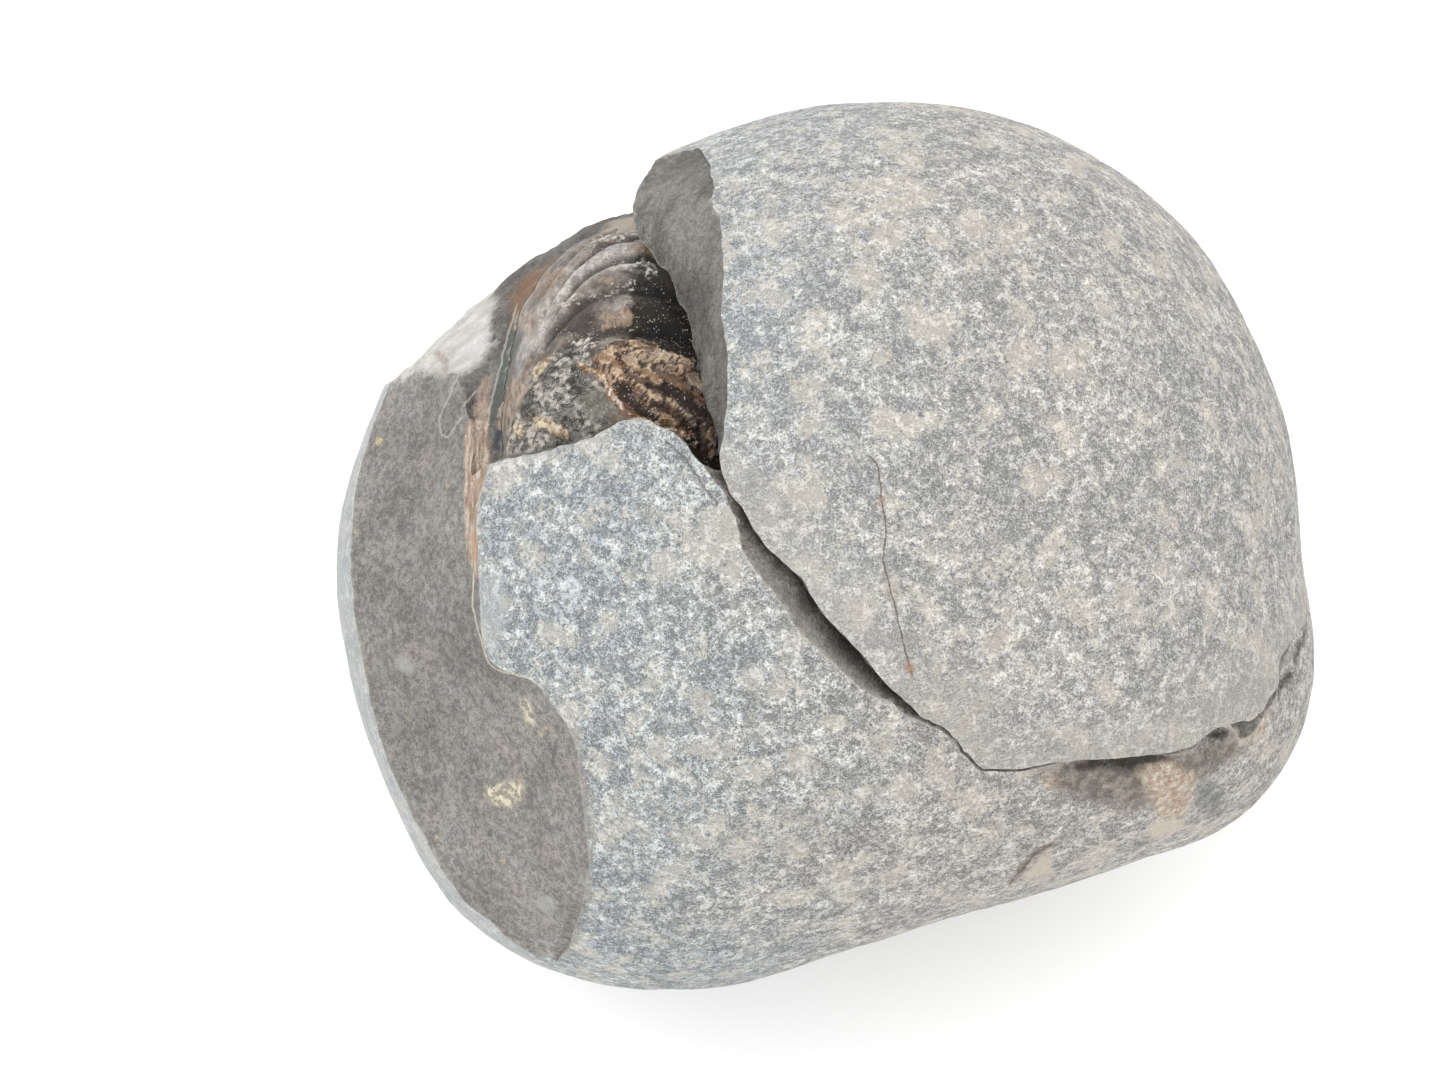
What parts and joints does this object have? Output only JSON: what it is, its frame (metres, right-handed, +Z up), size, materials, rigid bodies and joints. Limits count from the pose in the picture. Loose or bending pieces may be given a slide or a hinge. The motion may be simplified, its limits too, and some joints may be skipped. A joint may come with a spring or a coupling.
{
  "type": "split concretion with ammonite",
  "caption": "Rounded grey stone concretion split along a crack, its domed cap set back in place, with the ribbed outer whorl of an ammonite bared beside the break.",
  "frame": {"origin": "centre of the bounding box, at the level of the flat spot the stone rests on", "axes": "+X to the right along the stone's longest way, +Y to the back, towards the bared fossil, +Z up"},
  "size_m": [0.0962, 0.0888, 0.083],
  "materials": {
    "lower_half": "fine-grained matte stone, smooth pebble skin",
    "upper_half": "fine-grained matte stone, smooth pebble skin",
    "ammonite": "dark satin fossil shell with rust-brown flakes"
  },
  "bodies": {
    "root": {"lower_half": "lower_half", "upper_half": "upper_half", "ammonite": "ammonite"}
  },
  "joints": []
}
